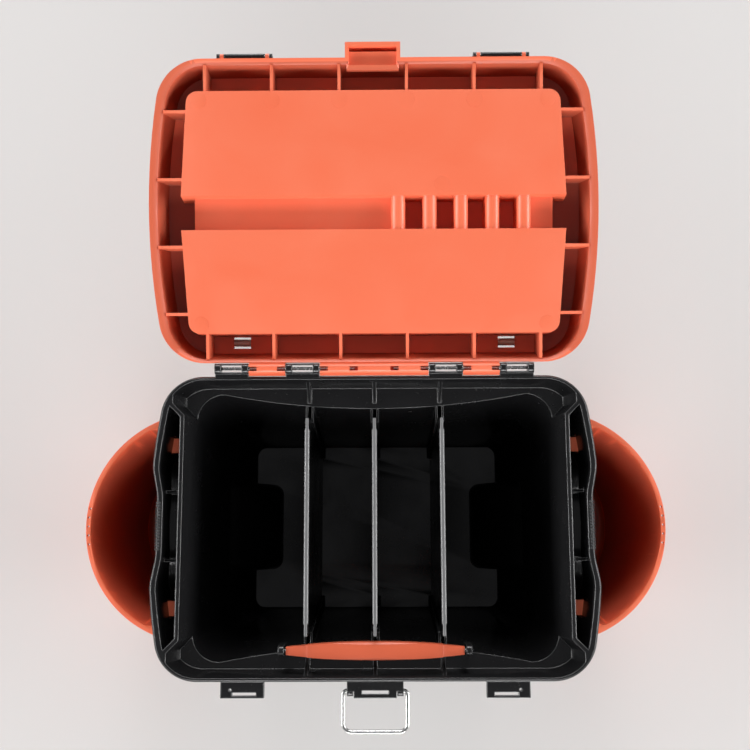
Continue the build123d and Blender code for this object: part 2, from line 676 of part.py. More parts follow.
def lens(length, width, end_width, height):
    """A bar that swells to its middle, in plan and from the front, with chamfered edges."""
    solids = []
    for plane, wide in ((Plane.XY, width), (Plane.XZ, height)):
        x = length / 2
        arcs = [
            ThreePointArc((-x, -end_width / 2), (0, -wide / 2), (x, -end_width / 2)),
            Line((x, -end_width / 2), (x, end_width / 2)),
            ThreePointArc((x, end_width / 2), (0, wide / 2), (-x, end_width / 2)),
            Line((-x, end_width / 2), (-x, -end_width / 2)),
        ]
        solids.append(extrude(plane * make_face(arcs), amount=GRIP_WIDTH, both=True))
    return solids[0] & solids[1]


def grip():
    """The orange front grip: a lens-shaped bar with a raised middle, bored for its rod."""
    bar = lens(GRIP_LENGTH, GRIP_WIDTH - GRIP_STEP, GRIP_END_WIDTH, GRIP_HEIGHT - GRIP_STEP)
    middle = lens(GRIP_LENGTH, GRIP_WIDTH, GRIP_END_WIDTH + GRIP_STEP, GRIP_HEIGHT)
    half = GRIP_MID_LENGTH / 2
    middle &= block(-half, half, -GRIP_WIDTH, GRIP_WIDTH, -GRIP_WIDTH, GRIP_WIDTH)
    corner = Rot(45, 0, 0) * Box(2 * GRIP_LENGTH, GRIP_DIAGONAL, GRIP_DIAGONAL)
    form = (bar + middle) & corner
    form -= rod(GRIP_ROD + 2 * RUNNING, -GRIP_LENGTH, GRIP_LENGTH, 0, 0)
    return Pos(0, GRIP_Y, GRIP_Z) * form


def lid_plan(inset):
    """The lid's outline at its rim, drawn in by inset."""
    return bowed_plan(LID_WIDTH - 2 * inset, LID_DEPTH - 2 * inset, SIDE_BOW, LID_CORNER - inset)


def lid_lip():
    """The thin lip round the lid's rim, which overhangs the tub at the sides and the front."""
    plan = bowed_plan(LID_WIDTH + 2 * LIP_SIDE, LID_DEPTH + LIP_FRONT, SIDE_BOW, LID_CORNER + LIP_FRONT)
    return Pos(0, -LIP_FRONT / 2, LID_Z) * extrude(plan, amount=LIP_HEIGHT)


def lip_bevel():
    """The bevel round the inside of the lid's rim, from its seat down to the inner wall."""
    inner = LID_WALL + LIP_BEVEL * math.tan(math.radians(LID_DRAFT))
    cone = between(lid_plan(LIP_SEAT), LID_Z, lid_plan(inner), LID_Z + LIP_BEVEL)
    return cone - Pos(0, 0, LID_Z) * extrude(lid_plan(inner), amount=LIP_BEVEL)


def lid_form(inset, z_low, z_high):
    """The lid's outer form, or its hollow, between two levels above the lid's rim."""
    slope = math.tan(math.radians(LID_DRAFT))
    low = lid_plan(inset + z_low * slope)
    high = lid_plan(inset + z_high * slope)
    return between(low, LID_Z + z_low, high, LID_Z + z_high)


def tray_plan(side, grow):
    """One tray's outline: straight along the channel, rounded towards the rim."""
    near = TRAY_NEAR - grow
    far = TRAY_FAR + grow
    corners = [
        (-TRAY_NEAR_HALF - grow, side * near),
        (TRAY_NEAR_HALF + grow, side * near),
        (TRAY_FAR_HALF + grow, side * far),
        (-TRAY_FAR_HALF - grow, side * far),
    ]
    face = make_face(Polyline(*corners, close=True))
    ends = face.vertices().sort_by(lambda v: -abs(v.Y))[0:2]
    return fillet(ends, TRAY_CORNER + grow)


def tray_form(side, grow, z_low, z_high):
    """A tray as a solid between two levels, opening upwards with its draft."""
    slope = math.tan(math.radians(TRAY_DRAFT))
    low = tray_plan(side, grow + z_low * slope)
    high = tray_plan(side, grow + z_high * slope)
    return between(low, LID_Z + z_low, high, LID_Z + z_high)


def groove_places():
    """The places of the bars along the channel."""
    return [GROOVE_FIRST + i * GROOVE_PITCH for i in range(GROOVE_COUNT)]


def groove(x, width, level, half_length):
    """A U-section bar across the channel, from its rounded bottom up through the deck."""
    radius = width / 2
    bottom = LID_Z + level + radius
    round_part = Cylinder(radius, 2 * half_length, rotation=(90, 0, 0))
    straight = block(x - radius, x + radius, -half_length, half_length, bottom,
                     LID_Z + DECK_LEVEL + DECK)
    return straight + Pos(x, 0, bottom) * round_part


def lid_skeleton(outer):
    """Trays, channel floor, grooves and ribs, still solid, before the upper side is hollowed."""
    top = DECK_LEVEL + DECK
    reach = TRAY_NEAR + DECK / 2
    parts = [tray_form(side, 0, TRAY_LEVEL, top) for side in SIDES]
    first = GROOVE_FIRST - GROOVE_WIDTH / 2
    last = GROOVE_FIRST + (GROOVE_COUNT - 1) * GROOVE_PITCH + GROOVE_WIDTH / 2
    for x0, x1 in ((-NOTCH_HALF, first + GROOVE_WIDTH / 2), (last - GROOVE_WIDTH / 2, NOTCH_HALF)):
        parts.append(block(x0, x1, -reach, reach, LID_Z + NOTCH_LEVEL, LID_Z + top))
    for x in groove_places():
        parts.append(groove(x, GROOVE_WIDTH, GROOVE_LEVEL, reach))
    low = LID_Z + LID_RIB_DROP
    high = LID_Z + DECK_LEVEL + DECK / 2
    for side in SIDES:
        for x in (RIB_PITCH / 2, 3 * RIB_PITCH / 2, LID_RIB_END):
            for hand in SIDES:
                y0 = min(side * (TRAY_FAR - RIB), side * LID_DEPTH / 2)
                y1 = max(side * (TRAY_FAR - RIB), side * LID_DEPTH / 2)
                rib = block(hand * x - RIB / 2, hand * x + RIB / 2, y0, y1, low, high)
                parts.append(rib & outer)
        for y in (-3 * RIB_PITCH / 2, -RIB_PITCH / 2, RIB_PITCH / 2, 3 * RIB_PITCH / 2):
            x0 = min(side * (TRAY_FAR_HALF - RIB), side * BOX_WIDTH / 2)
            x1 = max(side * (TRAY_FAR_HALF - RIB), side * BOX_WIDTH / 2)
            parts.append(block(x0, x1, y - RIB / 2, y + RIB / 2, low, high) & outer)
    return parts


def lid_hollows():
    """The trays, the wide notch, the end notch and the grooves as seen from the seat side."""
    top = DECK_LEVEL + DECK + REST_GAP
    parts = [tray_form(side, -DECK, TRAY_LEVEL + DECK, top) for side in SIDES]
    reach = TRAY_NEAR + 2 * DECK
    first = GROOVE_FIRST - GROOVE_WIDTH / 2
    last = GROOVE_FIRST + (GROOVE_COUNT - 1) * GROOVE_PITCH + GROOVE_WIDTH / 2
    floor = LID_Z + NOTCH_LEVEL + DECK
    for x0, x1 in ((DECK - NOTCH_HALF, first - DECK), (last + DECK, NOTCH_HALF - DECK)):
        parts.append(block(x0, x1, -reach, reach, floor, LID_Z + top))
    for x in groove_places():
        parts.append(groove(x, GROOVE_WIDTH - 2 * DECK, GROOVE_LEVEL + DECK, reach))
    for side in SIDES:
        x = side * CLIP_X
        parts.append(block(x - CLIP_SLOT_WIDTH / 2, x + CLIP_SLOT_WIDTH / 2, CLIP_Y - CLIP_SLOT_DEPTH / 2,
                           CLIP_Y + CLIP_SLOT_DEPTH / 2, LID_Z + DECK_LEVEL - DECK, LID_Z + top))
    return parts


def bail_cylinder(gap):
    """A round form about the bail's axis, just inside the swinging wire and its bends."""
    radius = BAIL_REACH - BAIL_WIRE / 2 - gap
    form = rod(2 * radius, -HOOK_HALF_WIDTH, HOOK_HALF_WIDTH, BAIL_Y, BAIL_Z)
    return fillet(form.edges().filter_by(GeomType.CIRCLE), BAIL_BEND - BAIL_WIRE / 2)


def lid_hook():
    """The hollow hook on the lid's front, crowned so that the bail swings over it."""
    face_y = -LID_DEPTH / 2
    top = LID_Z + LID_HEIGHT
    hook = block(-HOOK_HALF_WIDTH, HOOK_HALF_WIDTH, face_y - HOOK_REACH, face_y + 2 * HOOK_WALL,
                 LID_Z, top)
    return hook & bail_cylinder(HOOK_CROWN_GAP)


def lid_scoop(grow):
    """The scoop under the hook, which runs back through the lid's wall, grown by a wall."""
    half = HOOK_HALF_WIDTH - HOOK_WALL + grow
    front = -LID_DEPTH / 2 - HOOK_REACH + HOOK_WALL
    back = -LID_DEPTH / 2 + HOOK_SCOOP_REACH + grow
    level = HOOK_SCOOP_LEVEL + grow
    start = (front, LID_Z - grow)
    shoulder = (front, LID_Z + level * HOOK_SCOOP_SHOULDER)
    crown = ((front + back) / 2, LID_Z + level)
    outline = [Line((back, LID_Z - grow), start), Line(start, shoulder)]
    outline.append(ThreePointArc(shoulder, crown, (back, LID_Z - grow)))
    face = Plane.YZ * make_face(outline)
    return Pos(-half, 0, 0) * extrude(face, amount=2 * half, dir=(1, 0, 0))


def lid_hook_hollow():
    """The scoop with the deeper step behind the hook's front wall."""
    half = HOOK_HALF_WIDTH - HOOK_WALL
    front = -LID_DEPTH / 2 - HOOK_REACH + HOOK_WALL
    step = block(-half, half, front, front + HOOK_STEP, LID_Z - OVERCUT, LID_Z + LID_HEIGHT)
    return lid_scoop(0) + (step & bail_cylinder(HOOK_CROWN_GAP + HOOK_WALL))


def lid_knuckles():
    """The orange hinge knuckles with their arms, and a stop heel on each."""
    ear_inner = HINGE_EAR_NEAR - HINGE_EAR_WIDTH / 2 - HINGE_SIDE_GAP
    spans = [(-ear_inner, ear_inner)]
    for side in SIDES:
        a = side * (HINGE_EAR_NEAR + HINGE_EAR_WIDTH / 2 + HINGE_SIDE_GAP)
        b = side * (HINGE_EAR_FAR - HINGE_EAR_WIDTH / 2 - HINGE_SIDE_GAP)
        spans.append((min(a, b), max(a, b)))
    root = LID_DEPTH / 2 - LID_WALL
    parts = []
    for x0, x1 in spans:
        knuckle = rod(2 * HINGE_KNUCKLE_RADIUS, x0, x1, HINGE_Y, BOX_HEIGHT)
        arm = [
            (root, LID_Z),
            (HINGE_Y, LID_Z),
            (HINGE_Y, LID_Z + HINGE_KNUCKLE_RADIUS),
            (root, LID_Z + HINGE_DEPTH + RIB),
        ]
        knuckle += side_profile(arm, x0, x1)
        middle = (x0 + x1) / 2
        heel = block(x0, x1, -HINGE_OFFSET + REST_GAP, 0, -RIB, 0)
        heel = Pos(0, HINGE_Y, BOX_HEIGHT) * Rot(OPEN_ANGLE, 0, 0) * heel
        knuckle += heel
        notch_z = BOX_HEIGHT - HINGE_KNUCKLE_RADIUS
        for hand in SIDES:
            edge = middle + hand * (x1 - x0) / 2
            inner = edge - hand * HINGE_NOTCH
            knuckle -= block(min(edge, inner), max(edge, inner), HINGE_Y - HINGE_NOTCH_HALF,
                             HINGE_Y + HINGE_NOTCH_HALF, notch_z, BOX_HEIGHT + HINGE_PIN / 2)
        if x1 - x0 > 2 * HINGE_EAR_WIDTH:
            for hand in SIDES:
                edge = hand * (HINGE_PIN_INNER + HINGE_NOTCH - RIB)
                inner = hand * (HINGE_PIN_INNER - RIB)
                knuckle -= block(min(edge, inner), max(edge, inner), HINGE_Y - HINGE_NOTCH_HALF,
                                 HINGE_Y + HINGE_NOTCH_HALF, notch_z, BOX_HEIGHT + HINGE_PIN / 2)
        parts.append(knuckle)
    return parts


def lid_hasp_lugs():
    """Small lugs on the lid's front that carry the hasp pins."""
    parts = []
    for side in SIDES:
        for hand in SIDES:
            x = side * HASP_X + hand * HASP_LUG_OFFSET
            lug = rod(HASP_BARREL, x - HASP_LUG / 2, x + HASP_LUG / 2, HASP_Y, HASP_Z)
            lug += block(x - HASP_LUG / 2, x + HASP_LUG / 2, HASP_Y, HASP_Y + HASP_PIVOT_OUT + LID_WALL,
                         HASP_Z - HASP_BARREL / 2, HASP_Z + HASP_BARREL / 2)
            parts.append(lug)
    return parts


def lid_closed():
    """The orange lid moulding in its closed place."""
    outer = lid_form(0, 0, LID_HEIGHT)
    outer = fillet(outer.faces().sort_by(Axis.Z)[-1].edges(), LID_ROUND)
    lid = outer + lid_lip() + lid_hook()
    for part in lid_knuckles() + lid_hasp_lugs():
        lid += part
    lid -= lid_form(LID_WALL, 0, DECK_LEVEL)
    lid += lid_scoop(HOOK_SCOOP_WALL) & outer
    lid -= lid_hook_hollow()
    recess = lid_plan(COVER_INSET)
    lid -= Pos(0, 0, LID_Z + DECK_LEVEL + DECK) * extrude(recess, amount=LID_HEIGHT)
    for part in lid_skeleton(outer):
        lid += part
    for part in lid_hollows():
        lid -= part
    lid -= lip_bevel()
    lid -= rod(HINGE_PIN + 2 * RUNNING, -HINGE_PIN_OUTER, -HINGE_PIN_INNER + RIB / 5, HINGE_Y, BOX_HEIGHT)
    lid -= rod(HINGE_PIN + 2 * RUNNING, HINGE_PIN_INNER - RIB / 5, HINGE_PIN_OUTER, HINGE_Y, BOX_HEIGHT)
    for side in SIDES:
        lid -= rod(HASP_PIN + 2 * RUNNING, side * HASP_X - HASP_WIDTH / 2, side * HASP_X + HASP_WIDTH / 2,
                   HASP_Y, HASP_Z)
    return lid


def cover_level():
    """Height of the cover's underside on the shut lid."""
    return LID_Z + DECK_LEVEL + DECK + REST_GAP


def tray_cover_closed():
    """The clear cover over the trays, with a slot for each clip."""
    cover = Pos(0, 0, cover_level()) * extrude(lid_plan(COVER_INSET + COVER_EDGE_GAP), amount=COVER_PLATE)
    for side in SIDES:
        half = CLIP_WIDTH / 2 + CLIP_CLEARANCE
        depth = CLIP_THICKNESS / 2 + CLIP_CLEARANCE
        cover -= block(side * CLIP_X - half, side * CLIP_X + half, CLIP_Y - depth, CLIP_Y + depth,
                       cover_level() - OVERCUT, cover_level() + COVER_PLATE + OVERCUT)
    return cover


def cover_clip_closed(side):
    """A snap clip: a head on the cover, a leg through cover and deck, and a barb below."""
    top = cover_level() + COVER_PLATE + REST_GAP / 2
    bottom = LID_Z + DECK_LEVEL - CLIP_DROP + DECK
    half = CLIP_WIDTH / 2
    depth = CLIP_THICKNESS / 2
    x0 = side * CLIP_X - half
    x1 = side * CLIP_X + half
    clip = block(x0, x1, CLIP_Y - depth, CLIP_Y + depth, bottom, top)
    clip += block(x0 - CLIP_HEAD_RIM, x1 + CLIP_HEAD_RIM, CLIP_Y - depth - CLIP_HEAD_RIM,
                  CLIP_Y + depth + CLIP_HEAD_RIM, top, top + CLIP_HEAD)
    barb = [
        (CLIP_Y - depth, bottom),
        (CLIP_Y + depth, bottom),
        (CLIP_Y + depth + CLIP_BARB, bottom + 2 * CLIP_BARB),
        (CLIP_Y + depth, bottom + 3 * CLIP_BARB),
        (CLIP_Y - depth, bottom + 3 * CLIP_BARB),
        (CLIP_Y - depth - CLIP_BARB, bottom + 2 * CLIP_BARB),
    ]
    return clip + side_profile(barb, x0, x1)


def hasp_closed(side):
    """A hasp folded up against the lid's front: a barrel and a plate with a window."""
    half = HASP_WIDTH / 2
    plate = block(-half, half, -HASP_PLATE / 2, HASP_PLATE / 2, -HASP_LENGTH, 0)
    bottom = plate.edges().filter_by(Axis.Y).group_by(Axis.Z)[0]
    plate = fillet(bottom, HASP_BARREL)
    plate += rod(HASP_BARREL, -half, half, 0, 0)
    window = HASP_WINDOW_WIDTH / 2
    plate -= block(-window, window, -HASP_PLATE, HASP_PLATE, -HASP_WINDOW_BOTTOM, -HASP_WINDOW_TOP)
    lip = block(-window, window, -HASP_PLATE / 2 - HASP_LIP, 0, -HASP_LENGTH, HASP_PLATE - HASP_LENGTH)
    plate += lip
    gap = HASP_LUG / 2 + HINGE_SIDE_GAP
    for hand in SIDES:
        x = hand * HASP_LUG_OFFSET
        plate -= block(x - gap, x + gap, -HASP_BARREL, HASP_BARREL, -HASP_BARREL / 2 - HASP_LUG_GAP,
                       HASP_BARREL)
    plate -= rod(HASP_PIN + 2 * RUNNING, -half, half, 0, 0)
    turned = Rot(-(180 + HASP_FOLD), 0, 0) * plate
    return Pos(side * HASP_X, HASP_Y, HASP_Z) * turned


def hasp_pin_closed(side):
    """The steel pin that a hasp turns on, for the shut lid."""
    half = HASP_WIDTH / 2 - REST_GAP
    return rod(HASP_PIN, side * HASP_X - half, side * HASP_X + half, HASP_Y, HASP_Z)


def wire_bail():
    """The steel wire bail, standing straight out from its lugs."""
    end = BAIL_END_HALF
    wide = BAIL_HALF_WIDTH
    points = [(-end, 0, 0), (-wide, 0, 0), (-wide, -BAIL_REACH, 0), (wide, -BAIL_REACH, 0)]
    points += [(wide, 0, 0), (end, 0, 0)]
    path = FilletPolyline(*points, radius=[BAIL_EYE_BEND, BAIL_BEND, BAIL_BEND, BAIL_EYE_BEND])
    section = Plane(origin=path @ 0, z_dir=path % 0) * Circle(BAIL_WIRE / 2)
    return Pos(0, BAIL_Y, BAIL_Z) * sweep(section, path=path)


def pocket_plan(radius, back, corner):
    """A D: a straight back with an arc in front, in plan, for the right-hand side."""
    half = math.sqrt(radius ** 2 - (back - POCKET_CENTRE) ** 2)
    arc = ThreePointArc((back, -half), (POCKET_CENTRE + radius, 0), (back, half))
    face = make_face([arc, Line((back, half), (back, -half))])
    return fillet(face.vertices(), corner)


def pocket_top():
    """Height of a pocket's upper edge."""
    return BOX_HEIGHT - POCKET_TOP_DROP


def pocket_form(grow, z_low):
    """The bucket's outside, or its inside when grown by a negative wall."""
    top = pocket_top()
    shrink = (top - z_low) * math.tan(math.radians(POCKET_DRAFT))
    corner = POCKET_CORNER + grow
    low = pocket_plan(POCKET_RADIUS + grow - shrink, POCKET_BACK - grow, corner)
    high = pocket_plan(POCKET_RADIUS + grow, POCKET_BACK - grow, corner)
    return between(low, z_low, high, top)


def pocket(side):
    """A half-round bucket with a rolled lip and two hooks on its flat back."""
    top = pocket_top()
    outside = pocket_form(0, POCKET_BOTTOM)
    outside = fillet(outside.faces().sort_by(Axis.Z)[0].edges(), POCKET_ROUND)
    inside = pocket_form(-POCKET_WALL, POCKET_BOTTOM + POCKET_WALL)
    inside = fillet(inside.faces().sort_by(Axis.Z)[0].edges(), POCKET_ROUND - POCKET_WALL)
    ring = pocket_plan(POCKET_RADIUS + POCKET_LIP, POCKET_BACK, POCKET_LIP_CORNER)
    bucket = outside + Pos(0, 0, top - POCKET_LIP_HEIGHT) * extrude(ring, amount=POCKET_LIP_HEIGHT)
    bucket -= inside
    hole = Cylinder(POCKET_DOT / 2, 2 * POCKET_LIP_HEIGHT)
    for i in range(-2, 3):
        radius = POCKET_RADIUS - POCKET_WALL / 2 + POCKET_LIP / 2
        angle = math.asin(i * POCKET_DOT_PITCH / radius)
        x = POCKET_CENTRE + radius * math.cos(angle)
        bucket -= Pos(x, i * POCKET_DOT_PITCH, top) * hole
    hook_top = BOX_HEIGHT - HOOK_TOP_DROP
    tip = POCKET_BACK - HOOK_ARM
    for y in (-HOOK_Y, HOOK_Y):
        y0 = y - HOOK_WIDTH / 2
        y1 = y + HOOK_WIDTH / 2
        low = hook_top - HOOK_STRIP
        bucket += block(tip - HOOK_STRIP, POCKET_BACK + POCKET_WALL, y0, y1, low, hook_top)
        bucket += block(tip - HOOK_STRIP, tip, y0, y1, low - HOOK_TIP, hook_top)
    return bucket if side > 0 else mirror(bucket, about=Plane.YZ)


def opened(shape):
    """A lid piece, modelled closed, turned about the hinge into the open rest pose."""
    return shape.rotate(HINGE, OPEN_ANGLE)


os.makedirs("parts", exist_ok=True)
nodes = {
    "body_shell": body_shell(),
    "lid_shell": opened(lid_closed()),
    "tray_cover": opened(tray_cover_closed()),
    "wire_bail": wire_bail(),
    "grip": grip(),
    "grip_rod": rod(GRIP_ROD, -GRIP_LENGTH / 2 - GRIP_LUG, GRIP_LENGTH / 2 + GRIP_LUG, GRIP_Y, GRIP_Z),
    "hinge_pin_left": rod(HINGE_PIN, -HINGE_PIN_OUTER, -HINGE_PIN_INNER, HINGE_Y, BOX_HEIGHT),
    "hinge_pin_right": rod(HINGE_PIN, HINGE_PIN_INNER, HINGE_PIN_OUTER, HINGE_Y, BOX_HEIGHT),
}
for name, side in (("left", -1), ("right", 1)):
    nodes["hasp_" + name] = opened(hasp_closed(side))
    nodes["hasp_pin_" + name] = opened(hasp_pin_closed(side))
    nodes["cover_clip_" + name] = opened(cover_clip_closed(side))
    nodes["pocket_" + name] = pocket(side)
for name, x in zip(("left", "centre", "right"), divider_places()):
    nodes["divider_" + name] = divider(x)
for name, shape in nodes.items():
    export_step(shape, "parts/" + name + ".step")
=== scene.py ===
import json
import math

import bpy
from mathutils import Matrix, Vector

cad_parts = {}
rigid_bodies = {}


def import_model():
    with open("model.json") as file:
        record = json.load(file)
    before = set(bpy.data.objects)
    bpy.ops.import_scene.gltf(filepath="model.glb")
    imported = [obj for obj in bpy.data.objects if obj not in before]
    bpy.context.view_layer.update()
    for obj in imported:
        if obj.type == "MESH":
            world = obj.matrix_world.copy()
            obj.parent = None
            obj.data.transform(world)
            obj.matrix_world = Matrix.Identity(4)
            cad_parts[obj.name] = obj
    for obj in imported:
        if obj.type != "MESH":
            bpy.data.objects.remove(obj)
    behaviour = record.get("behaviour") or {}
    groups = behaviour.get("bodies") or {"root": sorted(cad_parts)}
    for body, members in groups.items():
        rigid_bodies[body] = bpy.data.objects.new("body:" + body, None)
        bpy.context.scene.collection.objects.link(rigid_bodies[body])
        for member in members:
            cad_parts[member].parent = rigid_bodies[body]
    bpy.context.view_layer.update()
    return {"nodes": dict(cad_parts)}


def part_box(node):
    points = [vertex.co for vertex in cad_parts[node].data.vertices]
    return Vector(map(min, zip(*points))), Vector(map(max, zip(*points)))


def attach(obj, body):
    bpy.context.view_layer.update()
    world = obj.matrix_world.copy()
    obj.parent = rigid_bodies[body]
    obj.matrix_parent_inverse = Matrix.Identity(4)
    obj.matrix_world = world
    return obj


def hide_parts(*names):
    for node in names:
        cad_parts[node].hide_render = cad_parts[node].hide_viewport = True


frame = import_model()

bl_info = {
    "name": "Ice fishing box",
    "version": (1, 0, 0),
    "blender": (4, 5, 0),
    "location": "View3D > Sidebar > Ice box",
    "description": "Finishes an ice fishing box: black tub, ribbed orange lid, pockets, wire bail and hasps",
    "category": "Object",
}

# Meshes: corners closer than this are one, flatter folds are none, and sharper ones are rounded
MERGE = 0.000002
FLAT_ANGLE = math.radians(0.4)
EDGE_ANGLE = math.radians(32.0)
NEAR = 0.00005

# The lid's opening, its hinge, and the gap between its rim and the tub's when it is shut
LID_OPEN = math.radians(168.6)
HINGE_Y = 0.1345
HINGE_Z = 0.212
HINGE = Vector((0, HINGE_Y, HINGE_Z))
RIM_GAP = 0.0003

# The lid's lip: the height of its bevel, where its slope ends at the rear, and how far it sinks
LIP_BEVEL = 0.003
LIP_REAR = 0.118
LIP_SINK = 0.0013

# The scoop under the lid's hook: the space that it fills, and the share of its depth that it keeps
SCOOP_HALF_WIDTH = 0.0206
SCOOP_Y = (-0.1417, -0.1250)
SCOOP_Z = (0.0005, 0.0145)
SCOOP_SHARE = 0.4

# The open places of the lid, which get no painted shade: outside, panels, channel and hook; and the offset
# and depth scale of the painted shade in its recesses
LID_WALL_X = 0.168
LID_WALL_Y = 0.1065
PANEL_LEVEL = 0.005
PANEL_NORMAL = -0.985
CHANNEL_HALF_WIDTH = 0.0150
CHANNEL_HALF_LENGTH = 0.1560
HOOK_Y = -0.1290
LID_SHADE_OFFSET = 0.0012
SHADE_DEPTH = 0.004

# The pockets: their upper edge, the middle of their inside, its floor, and how slowly the painted shade
# inside them deepens
POCKET_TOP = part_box("pocket_left")[1][2]
POCKET_MIDDLE = 0.20
POCKET_FLOOR = 0.028
POCKET_EDGE = 0.001
POCKET_SHADE_RATE = 0.5

# The beads of the dividers: the clearance of the form that rounds them, and the slope of the top faces that
# get a painted highlight
BEAD_CLEARANCE = 0.00005
BEAD_OVERRUN = 0.01
BEAD_HIGHLIGHT_NORMAL = 0.15

# The grip teeth on the side rails
RAIL_X = 0.1838
TEETH_LENGTH = 0.040
TOOTH_REACH = 0.0044
TOOTH_HEIGHT = 0.0056
TOOTH_DROP = 0.0024
TOOTH_EDGE = 0.0006

# The marks of the ejector pins: their places on the shut lid, their level, height and edge
PIN_MARKS = (
    (-0.150, -0.096), (-0.087, -0.096), (-0.029, -0.096), (0.029, -0.096), (0.087, -0.096), (0.150, -0.096),
    (0.0595, -0.0237), (-0.150, 0.096), (0.150, 0.096),
)
PIN_MARK_LEVEL = 0.00047
PIN_MARK_HEIGHT = 0.0002
PIN_MARK_EDGE = 0.00008

# The studio: its backdrop, its lamps with their places and power in watts, and its camera
BACKDROP = "#e6e4e3"
BACKDROP_ABOVE = "#808082"
FLOOR_SIZE = 60.0
FLOOR_LEVEL = -0.0002
FADE = (0.9, 2.4)
AMBIENT = 0.10
SOFTBOXES = (
    ("softbox_left", (-3.0, 0.1, 1.10), 27.5),
    ("softbox_right", (3.0, 0.1, 1.10), 27.5),
    ("softbox_front", (0.0, -2.9, 1.15), 24.5),
    ("softbox_rear", (0.0, 3.1, 1.15), 20.5),
)
SOFTBOX_WIDTH = 3.4
SOFTBOX_HEIGHT = 1.0
SOFTBOX_SPREAD = math.radians(75)
SOFTBOX_AIM = (0.0, 0.1, 0.2)
CAMERA_PLACE = (0.00781, -0.00437, 1.05447)
CAMERA_TILT = math.radians(8.964)
CAMERA_PAN = math.radians(-0.482)
CAMERA_ROLL = math.radians(-0.195)
CAMERA_LENS = 47.31
CAMERA_SENSOR = 36.0


class IceBoxSizes(bpy.types.PropertyGroup):
    """Sizes that a user would change, in metres"""
    thick_edge: bpy.props.FloatProperty(
        name="Shell edge", description="Rounding on the edges of the lid and the pockets",
        default=0.00055, unit="LENGTH")
    tub_edge: bpy.props.FloatProperty(
        name="Tub edge", description="Rounding on the edges of the tub",
        default=0.0009, unit="LENGTH")
    thin_edge: bpy.props.FloatProperty(
        name="Fitting edge", description="Rounding on the edges of hasps, dividers, clips, grip and wire",
        default=0.00035, unit="LENGTH")
    tooth_pitch: bpy.props.FloatProperty(
        name="Tooth pitch", description="Distance between the grip teeth on the side rails",
        default=0.0026, unit="LENGTH")
    tooth_width: bpy.props.FloatProperty(
        name="Tooth width", description="Width of one grip tooth along the rail",
        default=0.0015, unit="LENGTH")
    pin_mark: bpy.props.FloatProperty(
        name="Pin mark", description="Diameter of the round marks that the ejector pins leave",
        default=0.0135, unit="LENGTH")


class IceBoxColours(bpy.types.PropertyGroup):
    """Colours that a user would change, as sRGB hex"""
    black: bpy.props.StringProperty(
        name="Black", description="Moulded tub, dividers and hasps", default="#161617")
    # The paler colour of the black edges is a painted highlight
    edge_highlight: bpy.props.StringProperty(
        name="Edge highlight", description="Edges of the black pieces, painted paler as a highlight", default="#4a4a4b")
    # The paler colour of the divider beads is a painted highlight
    bead: bpy.props.StringProperty(
        name="Divider bead", description="Top edge of a divider, painted pale as a highlight", default="#6c6c6d")
    orange: bpy.props.StringProperty(
        name="Orange", description="Moulded lid and pockets", default="#ec6c49")
    # A darker copy of the lid's orange
    grip: bpy.props.StringProperty(
        name="Grip", description="Moulded front grip, a deeper orange", default="#c95a3b")
    steel: bpy.props.StringProperty(
        name="Steel", description="Wire bail and pins", default="#cfcfcd")
    floor: bpy.props.StringProperty(
        name="Floor", description="The pale ground that the box stands on", default="#cccac9")


def linear(code):
    """An sRGB hex colour as linear red, green, blue and alpha."""
    parts = [int(code[i:i + 2], 16) / 255 for i in (1, 3, 5)]
    return [c / 12.92 if c <= 0.04045 else ((c + 0.055) / 1.055) ** 2.4 for c in parts] + [1.0]


def add(tree, kind, links=(), **settings):
    """Adds a node, sets its own settings or its sockets, and links sockets of others to it."""
    node = tree.nodes.new(kind)
    for key, value in settings.items():
        if hasattr(node, key):
            setattr(node, key, value)
        else:
            node.inputs[key.replace("_", " ")].default_value = value
    link(tree, node, links)
    return node


def link(tree, node, links):
    """Links sockets of others to a node's sockets: each is a source, its output and the input."""
    for source, output, target in links:
        tree.links.new(source.outputs[output], node.inputs[target])


def noise(tree, coords, millimetres, detail, roughness, **settings):
    """A noise pattern whose features are this many millimetres apart."""
    return add(tree, "ShaderNodeTexNoise", [(coords, "Object", "Vector")],
               Scale=1000.0 / millimetres, Detail=detail, Roughness=roughness, **settings)


def ramp(tree, source, output, given, wanted=(0.0, 1.0), **settings):
    """Maps the given span of a value to the wanted one, and holds it there beyond the ends."""
    return add(tree, "ShaderNodeMapRange", [(source, output, "Value")],
               From_Min=given[0], From_Max=given[1], To_Min=wanted[0], To_Max=wanted[1], **settings)


def blend(tree, links, **colours):
    """Mixes colour A with colour B by the factor that the links bring."""
    return add(tree, "ShaderNodeMix", links, data_type="RGBA",
               **{socket: linear(code) for socket, code in colours.items()})


def new_material(name, **values):
    """A material with its shader, which takes the values, and the node for object coordinates."""
    material = bpy.data.materials.new(name)
    material.use_nodes = True
    tree = material.node_tree
    tree.nodes.clear()
    shader = add(tree, "ShaderNodeBsdfPrincipled", **values)
    add(tree, "ShaderNodeOutputMaterial", [(shader, "BSDF", "Surface")])
    coords = add(tree, "ShaderNodeTexCoord")
    return material, tree, shader, coords


